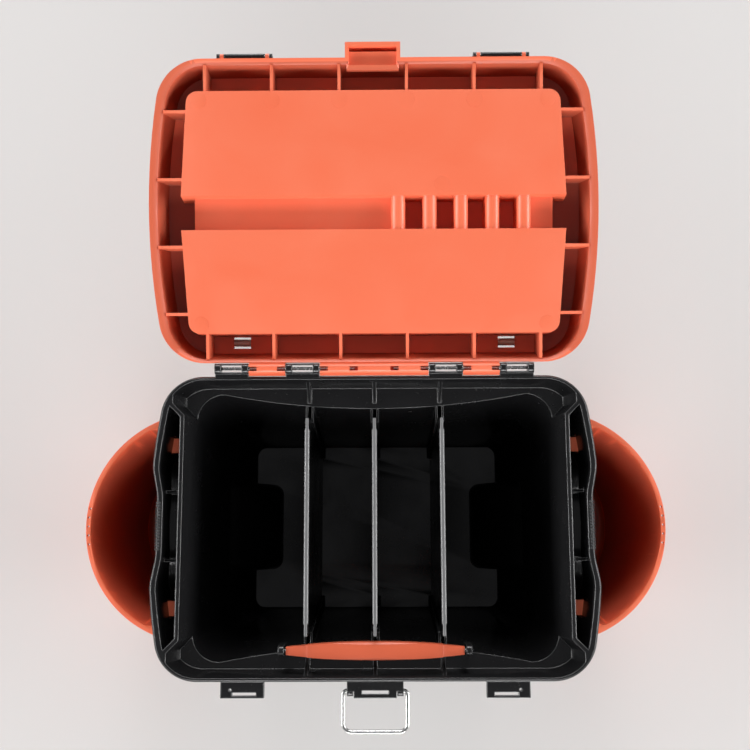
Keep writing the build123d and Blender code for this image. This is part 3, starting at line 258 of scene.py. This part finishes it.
def black_polypropylene(name, base, edge_highlight):
    """Injection-moulded black polypropylene: glossy, with a fine grain that breaks up its
    highlights, dull handling marks and a little pale dust. Its edges are rounded in shading and
    get a painted highlight: a paler colour where the rounded normal turns from the surface's."""
    material, tree, shader, coords = new_material(name, IOR=1.49)
    grain = noise(tree, coords, 1.1, 2.0, 0.5)
    marks = noise(tree, coords, 38.0, 5.0, 0.6)
    dust = noise(tree, coords, 3.2, 3.0, 0.75)
    gloss = ramp(tree, marks, "Fac", (0.3, 0.7), (0.17, 0.30))
    specks = ramp(tree, dust, "Fac", (0.66, 0.76), (0.0, 0.22))
    tint = blend(tree, [(specks, "Result", "Factor")], A=base, B="#8a8782")
    rounded = add(tree, "ShaderNodeBevel", samples=8, Radius=0.0016)
    surface = add(tree, "ShaderNodeNewGeometry")
    turn = add(tree, "ShaderNodeVectorMath", [(rounded, "Normal", 0), (surface, "Normal", 1)],
               operation="DOT_PRODUCT")
    # Painted highlight: edges, where the rounded normal turns from the surface's, take the paler colour
    edge = ramp(tree, turn, "Value", (0.99, 0.82))
    edge_highlighted = blend(tree, [(edge, "Result", "Factor"), (tint, "Result", "A")], B=edge_highlight)
    bump = add(tree, "ShaderNodeBump", [(grain, "Fac", "Height"), (rounded, "Normal", "Normal")],
               Strength=0.10, Distance=0.0002)
    link(tree, shader, [(edge_highlighted, "Result", "Base Color"), (gloss, "Result", "Roughness"),
                        (bump, "Normal", "Normal")])
    return material


def orange_abs(name, base, cloud):
    """Injection-moulded orange ABS: a smooth satin skin with faint cloudy flow marks, which the
    eye sees as slightly uneven colour and sheen. The deep places that the recess attribute marks,
    behind the lid's ribs and inside the pockets, get a painted shade, darker the deeper they lie."""
    material, tree, shader, coords = new_material(name, IOR=1.53)
    flow = noise(tree, coords, 60.0, 4.0, 0.55, Distortion=0.6)
    grain = noise(tree, coords, 1.4, 2.0, 0.5)
    tint = blend(tree, [(flow, "Fac", "Factor")], A=base, B=cloud)
    recess = add(tree, "ShaderNodeAttribute", attribute_name="recess")
    # Painted shade: the colour darkens towards this deeper orange in the recesses, by the recess attribute
    recess_shaded = blend(tree, [(recess, "Fac", "Factor"), (tint, "Result", "A")], B="#a84d37")
    gloss = ramp(tree, flow, "Fac", (0.3, 0.7), (0.36, 0.46))
    bump = add(tree, "ShaderNodeBump", [(grain, "Fac", "Height")], Strength=0.06, Distance=0.0002)
    link(tree, shader, [(recess_shaded, "Result", "Base Color"), (gloss, "Result", "Roughness"),
                        (bump, "Normal", "Normal")])
    return material


def drawn_steel(colour):
    """Zinc-plated drawn steel wire: bright, with fine lines along the draw that blur its
    highlights."""
    material, tree, shader, coords = new_material("steel_wire_zinc_plated", Base_Color=linear(colour),
                                                  Metallic=1.0)
    marks = noise(tree, coords, 2.0, 3.0, 0.6)
    gloss = ramp(tree, marks, "Fac", (0.0, 1.0), (0.18, 0.34))
    bump = add(tree, "ShaderNodeBump", [(marks, "Fac", "Height")], Strength=0.08, Distance=0.0001)
    link(tree, shader, [(gloss, "Result", "Roughness"), (bump, "Normal", "Normal")])
    return material


def clear_polycarbonate():
    """Clear moulded polycarbonate sheet: see-through, with a faint haze of rubbing marks."""
    material, tree, shader, coords = new_material(
        "polycarbonate_clear_moulded", Base_Color=linear("#eef2f1"), Transmission_Weight=0.95, Alpha=0.4,
        IOR=1.58)
    haze = noise(tree, coords, 14.0, 5.0, 0.65)
    gloss = ramp(tree, haze, "Fac", (0.0, 1.0), (0.05, 0.16))
    link(tree, shader, [(gloss, "Result", "Roughness")])
    return material


def milky_polyethylene():
    """Undyed moulded polyethylene: waxy, whitish and a little translucent."""
    material, tree, shader, coords = new_material(
        "polyethylene_undyed_moulded", Roughness=0.42, Transmission_Weight=0.15, IOR=1.5)
    cloud = noise(tree, coords, 5.0, 3.0, 0.5)
    tint = blend(tree, [(cloud, "Fac", "Factor")], A="#d9d2c8", B="#c9beb2")
    link(tree, shader, [(tint, "Result", "Base Color")])
    return material


FINISHES = {}


def finish_named(name):
    """The material of that name, made once."""
    if name not in FINISHES:
        colours = bpy.context.scene.ice_box_colours
        makers = {
            "black": lambda: black_polypropylene(
                "black_polypropylene_moulded", colours.black, colours.edge_highlight),
            # The divider beads' material: paler black all over, a painted highlight
            "edge_highlight": lambda: black_polypropylene(
                "black_polypropylene_bead_highlight", colours.bead, colours.bead),
            "orange": lambda: orange_abs("orange_abs_moulded", colours.orange, "#f07a58"),
            "grip": lambda: orange_abs("deep_orange_abs_moulded", colours.grip, "#d16243"),
            "steel": lambda: drawn_steel(colours.steel),
            "clear": clear_polycarbonate,
            "milky": milky_polyethylene,
        }
        FINISHES[name] = makers[name]()
    return FINISHES[name]


def pick(piece):
    """Leaves one object selected and active."""
    if bpy.context.mode != "OBJECT":
        bpy.ops.object.mode_set(mode="OBJECT")
    bpy.ops.object.select_all(action="DESELECT")
    piece.select_set(True)
    bpy.context.view_layer.objects.active = piece


def place(piece, body, finish):
    """Gives a piece its finish and the body that it moves with."""
    piece.data.materials.clear()
    piece.data.materials.append(finish_named(finish))
    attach(piece, body)


def settle(piece):
    """Puts a piece's place, turn and size into its mesh."""
    pick(piece)
    bpy.ops.object.transform_apply(location=True, rotation=True, scale=True)


def softened(node, name, body, finish, edge, steps=2, reshape=None):
    """A copy of a CAD node with its facets merged and its edges rounded, in place of the node."""
    pick(frame["nodes"][node])
    bpy.ops.object.duplicate()
    piece = bpy.context.view_layer.objects.active
    piece.name = name
    bpy.ops.object.parent_clear(type="CLEAR_KEEP_TRANSFORM")
    pick(piece)
    if piece.data.has_custom_normals:
        bpy.ops.mesh.customdata_custom_splitnormals_clear()
    bpy.ops.object.mode_set(mode="EDIT")
    bpy.ops.mesh.select_all(action="SELECT")
    bpy.ops.mesh.remove_doubles(threshold=MERGE)
    if reshape:
        reshape(piece)
        bpy.ops.mesh.select_all(action="SELECT")
    bpy.ops.mesh.dissolve_limited(angle_limit=FLAT_ANGLE)
    bpy.ops.object.mode_set(mode="OBJECT")
    bevel = piece.modifiers.new("edge", "BEVEL")
    bevel.width = edge
    bevel.segments = steps
    bevel.limit_method = "ANGLE"
    bevel.angle_limit = EDGE_ANGLE
    bevel.use_clamp_overlap = True
    bevel.harden_normals = False
    place(piece, body, finish)
    bpy.ops.object.modifier_apply(modifier="edge")
    bpy.ops.object.shade_smooth_by_angle(angle=EDGE_ANGLE)
    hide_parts(node)
    return piece


def paint_recess_shade(piece, depth_of):
    """Writes how deep in a recess each corner lies, from 0 in the open to 1 at the bottom, as the strength of
    the painted shade there.
    """
    marks = piece.data.attributes.new("recess", "FLOAT", "CORNER")
    for face in piece.data.polygons:
        for corner in face.loop_indices:
            point = piece.data.vertices[piece.data.loops[corner].vertex_index].co
            depth = depth_of(point, face.normal, face.center)
            marks.data[corner].value = 1.0 - math.exp(-max(depth, 0.0) / SHADE_DEPTH)


def lid_place(x, y, z):
    """A point of the shut lid, measured from the middle of its rim, in the open lid's place."""
    across = y - HINGE_Y
    up = z + RIM_GAP
    turned_y = HINGE_Y + across * math.cos(LID_OPEN) + up * math.sin(LID_OPEN)
    turned_z = HINGE_Z - across * math.sin(LID_OPEN) + up * math.cos(LID_OPEN)
    return Vector((x, turned_y, turned_z))


def lid_closed(arm):
    """The reverse of lid_place for a turn alone: an open lid's direction in the shut lid."""
    return Vector((arm.x, arm.y * math.cos(LID_OPEN) - arm.z * math.sin(LID_OPEN),
                   arm.y * math.sin(LID_OPEN) + arm.z * math.cos(LID_OPEN)))


class ICEBOX_OT_tub(bpy.types.Operator):
    """Finishes the tub with rounded edges"""
    bl_idname = "icebox.tub"
    bl_label = "Tub"

    def execute(self, context):
        sizes = context.scene.ice_box_sizes
        softened("body_shell", "tub_shell", "tub", "black", sizes.tub_edge, steps=3)
        return {"FINISHED"}


class ICEBOX_OT_lid(bpy.types.Operator):
    """Finishes the ribbed lid with rounded edges"""
    bl_idname = "icebox.lid"
    bl_label = "Lid"

    def execute(self, context):
        sizes = context.scene.ice_box_sizes
        lid = softened("lid_shell", "lid_moulding", "lid", "orange", sizes.thick_edge, reshape=self.slope_lip)
        # Paints shade into the lid's recesses, darker with depth
        paint_recess_shade(lid, self.depth)
        return {"FINISHED"}

    def slope_lip(self, piece):
        """Sinks the inside of the flat lip, so that it slopes from its edge down to the lid's wall,
        and raises the floor of the scoop in the hook."""
        bpy.ops.mesh.select_mode(type="VERT")
        bpy.ops.mesh.select_all(action="DESELECT")
        bpy.ops.object.mode_set(mode="OBJECT")
        places = [lid_closed(vertex.co - HINGE) for vertex in piece.data.vertices]
        for edge in piece.data.edges:
            for seat, wall in (edge.vertices, reversed(edge.vertices)):
                on_seat = abs(places[seat].z - RIM_GAP) < NEAR and places[seat].y + HINGE_Y < LIP_REAR
                if on_seat and abs(places[wall].z - RIM_GAP - LIP_BEVEL) < NEAR:
                    piece.data.vertices[seat].select = True
        bpy.ops.object.mode_set(mode="EDIT")
        bpy.ops.transform.translate(value=lid_place(0, 0, LIP_SINK) - lid_place(0, 0, 0))
        bpy.ops.object.mode_set(mode="OBJECT")
        for vertex, spot in zip(piece.data.vertices, places):
            across = spot.y + HINGE_Y
            in_scoop = abs(spot.x) < SCOOP_HALF_WIDTH and SCOOP_Y[0] < across < SCOOP_Y[1]
            if in_scoop and SCOOP_Z[0] < spot.z < SCOOP_Z[1]:
                vertex.co += lid_place(0, 0, SCOOP_SHARE * spot.z) - lid_place(0, 0, spot.z)
        bpy.ops.object.mode_set(mode="EDIT")

    def depth(self, point, normal, centre):
        """How far a place lies behind the lid's rim, or 0 on the outside, the panels and the channel: the
        depth that sets its painted shade.
        """
        up = lid_closed(normal)
        middle = lid_closed(centre - HINGE)
        across = middle.y + HINGE_Y
        outward = up.x * middle.x + up.y * across
        outside = outward > 0 and (abs(middle.x) > LID_WALL_X or abs(across) > LID_WALL_Y)
        panel = up.z < PANEL_NORMAL and middle.z < PANEL_LEVEL
        channel = abs(across) < CHANNEL_HALF_WIDTH and abs(middle.x) < CHANNEL_HALF_LENGTH
        if up.z > 0.5 or outside or panel or channel or across < HOOK_Y:
            return 0.0
        return lid_closed(point - HINGE).z + LID_SHADE_OFFSET


class ICEBOX_OT_dividers(bpy.types.Operator):
    """Finishes the three dividers"""
    bl_idname = "icebox.dividers"
    bl_label = "Dividers"

    def execute(self, context):
        sizes = context.scene.ice_box_sizes
        for name in ("left", "centre", "right"):
            plate = softened("divider_" + name, "divider_plate_" + name, name + "_divider", "black",
                             sizes.thin_edge)
            self.round_top(plate)
        return {"FINISHED"}

    def round_top(self, plate):
        """Rounds the bead along the plate's top to a half circle and gives its top faces the paler material
        of a painted highlight.
        """
        xs, ys, zs = zip(*(vertex.co for vertex in plate.data.vertices))
        radius = (max(xs) - min(xs)) / 2 + BEAD_CLEARANCE
        middle = (max(xs) + min(xs)) / 2
        length = max(ys) - min(ys) + BEAD_OVERRUN
        axis = max(zs) - radius
        bpy.ops.object.select_all(action="DESELECT")
        bpy.ops.mesh.primitive_cylinder_add(vertices=48, radius=radius, depth=length,
                                            location=(middle, 0, axis), rotation=(math.pi / 2, 0, 0))
        envelope = bpy.context.object
        settle(envelope)
        bpy.ops.object.mode_set(mode="EDIT")
        bpy.ops.mesh.select_all(action="DESELECT")
        bpy.ops.object.mode_set(mode="OBJECT")
        for vertex in envelope.data.vertices:
            vertex.select = vertex.co.z < axis - 0.00001
        bpy.ops.object.mode_set(mode="EDIT")
        bpy.ops.transform.resize(value=(1, 1, 0), center_override=(middle, 0, 0))
        bpy.ops.mesh.select_all(action="SELECT")
        bpy.ops.mesh.remove_doubles(threshold=MERGE / 2)
        pick(plate)
        cut = plate.modifiers.new("rounding", "BOOLEAN")
        cut.operation = "INTERSECT"
        cut.solver = "MANIFOLD"
        cut.object = envelope
        bpy.ops.object.modifier_apply(modifier="rounding")
        bpy.data.objects.remove(envelope)
        plate.data.materials.clear()
        plate.data.materials.append(finish_named("black"))
        plate.data.materials.append(finish_named("edge_highlight"))
        # The bead's top faces take the paler material: a painted highlight
        for face in plate.data.polygons:
            face.material_index = int(face.center.z > axis and face.normal.z > BEAD_HIGHLIGHT_NORMAL)
        bpy.ops.object.shade_smooth_by_angle(angle=EDGE_ANGLE)


class ICEBOX_OT_pockets(bpy.types.Operator):
    """Finishes the two half-round side pockets"""
    bl_idname = "icebox.pockets"
    bl_label = "Pockets"

    def execute(self, context):
        sizes = context.scene.ice_box_sizes
        for name in ("left", "right"):
            pocket = softened("pocket_" + name, "side_pocket_" + name, name + "_pocket", "orange",
                              sizes.thick_edge)
            # Paints shade inside the pocket, darker with depth
            paint_recess_shade(pocket, self.depth)
        return {"FINISHED"}

    def depth(self, point, normal, centre):
        """How far a place inside a pocket lies below its top, or 0 on the outside: the depth that sets its
        painted shade.
        """
        side = math.copysign(1.0, centre.x)
        inward = Vector((side * POCKET_MIDDLE, 0, centre.z)) - centre
        inside = normal.dot(inward) > 0 and centre.z < POCKET_TOP - POCKET_EDGE
        if centre.z < POCKET_FLOOR:
            inside = normal.z > 0.5
        return (POCKET_TOP - point.z) * POCKET_SHADE_RATE if inside else 0.0


class ICEBOX_OT_hasps(bpy.types.Operator):
    """Finishes the two hasps and their pins"""
    bl_idname = "icebox.hasps"
    bl_label = "Hasps"

    def execute(self, context):
        sizes = context.scene.ice_box_sizes
        for name in ("left", "right"):
            softened("hasp_" + name, "hasp_plate_" + name, name + "_hasp", "black", sizes.thin_edge)
            softened("hasp_pin_" + name, "hasp_rod_" + name, "lid", "steel", sizes.thin_edge)
        return {"FINISHED"}


class ICEBOX_OT_grip(bpy.types.Operator):
    """Finishes the front grip and its rod"""
    bl_idname = "icebox.grip"
    bl_label = "Grip"

    def execute(self, context):
        sizes = context.scene.ice_box_sizes
        softened("grip", "front_grip_bar", "front_grip", "grip", sizes.thin_edge)
        softened("grip_rod", "front_grip_rod", "tub", "steel", sizes.thin_edge)
        return {"FINISHED"}


class ICEBOX_OT_wire(bpy.types.Operator):
    """Finishes the wire bail and the hinge pins"""
    bl_idname = "icebox.wire"
    bl_label = "Bail and pins"

    def execute(self, context):
        sizes = context.scene.ice_box_sizes
        softened("wire_bail", "bail_wire", "bail", "steel", sizes.thin_edge)
        for name in ("left", "right"):
            softened("hinge_pin_" + name, "hinge_rod_" + name, "tub", "steel", sizes.thin_edge)
        return {"FINISHED"}


class ICEBOX_OT_cover(bpy.types.Operator):
    """Finishes the clear cover and its two clips"""
    bl_idname = "icebox.cover"
    bl_label = "Tray cover"

    def execute(self, context):
        sizes = context.scene.ice_box_sizes
        softened("tray_cover", "cover_sheet", "cover", "clear", sizes.thin_edge)
        for name in ("left", "right"):
            softened("cover_clip_" + name, "snap_clip_" + name, "cover", "milky", sizes.thin_edge)
        return {"FINISHED"}


class ICEBOX_OT_teeth(bpy.types.Operator):
    """Adds the row of grip teeth on the outer edge of each side rail"""
    bl_idname = "icebox.teeth"
    bl_label = "Rail teeth"

    def execute(self, context):
        sizes = context.scene.ice_box_sizes
        count = int(TEETH_LENGTH / sizes.tooth_pitch) + 1
        first = -sizes.tooth_pitch * (count - 1) / 2
        for side, name in ((-1, "left"), (1, "right")):
            bpy.ops.object.select_all(action="DESELECT")
            bpy.ops.mesh.primitive_cube_add(size=1.0, location=(side * RAIL_X, first, HINGE_Z - TOOTH_DROP))
            tooth = context.object
            tooth.name = "rail_teeth_" + name
            tooth.dimensions = (TOOTH_REACH, sizes.tooth_width, TOOTH_HEIGHT)
            settle(tooth)
            bpy.ops.object.mode_set(mode="EDIT")
            bpy.ops.mesh.select_mode(type="EDGE")
            bpy.ops.mesh.select_all(action="SELECT")
            bpy.ops.mesh.bevel(offset=TOOTH_EDGE, segments=3, affect="EDGES")
            bpy.ops.object.mode_set(mode="OBJECT")
            row = tooth.modifiers.new("row", "ARRAY")
            row.use_relative_offset = False
            row.use_constant_offset = True
            row.constant_offset_displace = (0, sizes.tooth_pitch, 0)
            row.count = count
            bpy.ops.object.modifier_apply(modifier="row")
            bpy.ops.object.shade_smooth_by_angle(angle=math.radians(40))
            place(tooth, "tub", "black")
        return {"FINISHED"}


class ICEBOX_OT_marks(bpy.types.Operator):
    """Adds the round marks of the ejector pins to the lid's two panels"""
    bl_idname = "icebox.marks"
    bl_label = "Pin marks"

    def execute(self, context):
        sizes = context.scene.ice_box_sizes
        marks = []
        for x, y in PIN_MARKS:
            bpy.ops.object.select_all(action="DESELECT")
            bpy.ops.mesh.primitive_cylinder_add(
                vertices=64, radius=sizes.pin_mark / 2, depth=PIN_MARK_HEIGHT,
                location=lid_place(x, y, PIN_MARK_LEVEL), rotation=(-LID_OPEN, 0, 0))
            mark = context.object
            settle(mark)
            marks.append(mark)
        for mark in marks:
            mark.select_set(True)
        context.view_layer.objects.active = marks[0]
        bpy.ops.object.join()
        mark = context.object
        mark.name = "lid_pin_marks"
        edge = mark.modifiers.new("edge", "BEVEL")
        edge.width = PIN_MARK_EDGE
        edge.segments = 2
        bpy.ops.object.modifier_apply(modifier="edge")
        bpy.ops.object.shade_smooth_by_angle(angle=math.radians(30))
        place(mark, "lid", "orange")
        return {"FINISHED"}


class ICEBOX_OT_stage(bpy.types.Operator):
    """Adds the floor, the lamps, the surroundings and the camera"""
    bl_idname = "icebox.stage"
    bl_label = "Stage"

    def execute(self, context):
        self.lay_floor(context)
        for name, position, power in SOFTBOXES:
            bpy.ops.object.light_add(type="AREA", location=position)
            lamp = context.object
            lamp.name = name
            lamp.data.shape = "RECTANGLE"
            lamp.data.size = SOFTBOX_WIDTH
            lamp.data.size_y = SOFTBOX_HEIGHT
            lamp.data.energy = power
            lamp.data.spread = SOFTBOX_SPREAD
            aim = Vector(SOFTBOX_AIM) - Vector(position)
            lamp.rotation_euler = aim.to_track_quat("-Z", "Y").to_euler()
        self.surround(context)
        self.set_camera(context)
        context.scene.view_settings.view_transform = "Standard"
        return {"FINISHED"}

    def lay_floor(self, context):
        """Adds a matte paper floor, which fades into the pale backdrop as a paper sweep does."""
        bpy.ops.object.select_all(action="DESELECT")
        bpy.ops.mesh.primitive_plane_add(size=FLOOR_SIZE, location=(0, 0, FLOOR_LEVEL))
        floor = context.object
        floor.name = "studio_floor"
        colour = linear(context.scene.ice_box_colours.floor)
        material, tree, shader, coords = new_material("paper_backdrop_matte", Base_Color=colour,
                                                      Roughness=0.9, Specular_IOR_Level=0.1)
        away = add(tree, "ShaderNodeVectorMath", [(coords, "Object", 0)], operation="LENGTH")
        reach = ramp(tree, away, "Value", FADE, interpolation_type="SMOOTHSTEP")
        seen = self.seen_rays(tree, "Is Glossy Ray")
        share = add(tree, "ShaderNodeMath", [(seen, "Value", 0), (reach, "Result", 1)], operation="MULTIPLY")
        glow = add(tree, "ShaderNodeEmission", Color=linear(BACKDROP), Strength=1.0)
        mix = add(tree, "ShaderNodeMixShader",
                  [(share, "Value", 0), (shader, "BSDF", 1), (glow, "Emission", 2)])
        output = next(node for node in tree.nodes if node.type == "OUTPUT_MATERIAL")
        link(tree, output, [(mix, "Shader", "Surface")])
        floor.data.materials.append(material)

    def seen_rays(self, tree, *kinds):
        """1 for rays from the camera and those of the kinds named, and 0 for all others."""
        rays = add(tree, "ShaderNodeLightPath")
        seen, output = rays, "Is Camera Ray"
        for kind in kinds:
            seen = add(tree, "ShaderNodeMath", [(seen, output, 0), (rays, kind, 1)], operation="MAXIMUM")
            output = "Value"
        return seen

    def surround(self, context):
        """Lights the world faintly and shows rays that miss everything a pale backdrop."""
        world = bpy.data.worlds.new("studio_surroundings")
        context.scene.world = world
        world.use_nodes = True
        tree = world.node_tree
        tree.nodes.clear()
        seen = self.seen_rays(tree, "Is Glossy Ray", "Is Transmission Ray")
        ambient = add(tree, "ShaderNodeBackground", Color=linear("#ffffff"), Strength=AMBIENT)
        coords = add(tree, "ShaderNodeTexCoord")
        split = add(tree, "ShaderNodeSeparateXYZ", [(coords, "Generated", "Vector")])
        height = ramp(tree, split, "Z", (0.05, 0.6))
        shade = blend(tree, [(height, "Result", "Factor")], A=BACKDROP, B=BACKDROP_ABOVE)
        backdrop = add(tree, "ShaderNodeBackground", [(shade, "Result", "Color")], Strength=1.0)
        mix = add(tree, "ShaderNodeMixShader",
                  [(seen, "Value", 0), (ambient, "Background", 1), (backdrop, "Background", 2)])
        add(tree, "ShaderNodeOutputWorld", [(mix, "Shader", "Surface")])

    def set_camera(self, context):
        """Sets the camera over the box, as the photograph was taken."""
        ahead = Vector((math.sin(CAMERA_PAN) * math.cos(CAMERA_TILT), math.sin(CAMERA_TILT),
                        -math.cos(CAMERA_PAN) * math.cos(CAMERA_TILT)))
        level = Vector((math.cos(CAMERA_PAN), 0, math.sin(CAMERA_PAN)))
        above = level.cross(ahead)
        right = level * math.cos(CAMERA_ROLL) + above * math.sin(CAMERA_ROLL)
        above = above * math.cos(CAMERA_ROLL) - level * math.sin(CAMERA_ROLL)
        turn = Matrix((right, above, -ahead)).transposed()
        bpy.ops.object.camera_add(location=CAMERA_PLACE, rotation=turn.to_euler())
        camera = context.object
        camera.name = "photo_camera"
        camera.data.sensor_width = CAMERA_SENSOR
        camera.data.lens = CAMERA_LENS
        context.scene.camera = camera


class ICEBOX_PT_panel(bpy.types.Panel):
    """Lists the sizes, the colours and the steps that finish the box"""
    bl_idname = "ICEBOX_PT_panel"
    bl_label = "Ice fishing box"
    bl_space_type = "VIEW_3D"
    bl_region_type = "UI"
    bl_category = "Ice box"

    def draw(self, context):
        layout = self.layout
        for group in (context.scene.ice_box_sizes, context.scene.ice_box_colours):
            for key in group.bl_rna.properties.keys():
                if key not in ("rna_type", "name"):
                    layout.prop(group, key)
        for step in STEPS:
            layout.operator(step.bl_idname)


STEPS = (
    ICEBOX_OT_tub,
    ICEBOX_OT_lid,
    ICEBOX_OT_dividers,
    ICEBOX_OT_pockets,
    ICEBOX_OT_hasps,
    ICEBOX_OT_grip,
    ICEBOX_OT_wire,
    ICEBOX_OT_cover,
    ICEBOX_OT_teeth,
    ICEBOX_OT_marks,
    ICEBOX_OT_stage,
)
CLASSES = (IceBoxSizes, IceBoxColours) + STEPS + (ICEBOX_PT_panel,)


def register():
    for cls in CLASSES:
        bpy.utils.register_class(cls)
    bpy.types.Scene.ice_box_sizes = bpy.props.PointerProperty(type=IceBoxSizes)
    bpy.types.Scene.ice_box_colours = bpy.props.PointerProperty(type=IceBoxColours)


def unregister():
    del bpy.types.Scene.ice_box_colours
    del bpy.types.Scene.ice_box_sizes
    for cls in reversed(CLASSES):
        bpy.utils.unregister_class(cls)


def main():
    """Registers the add-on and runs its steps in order."""
    register()
    for step in STEPS:
        group, name = step.bl_idname.split(".")
        if getattr(getattr(bpy.ops, group), name)() != {"FINISHED"}:
            raise RuntimeError(step.bl_label + " did not finish")


if __name__ == "__main__":
    main()
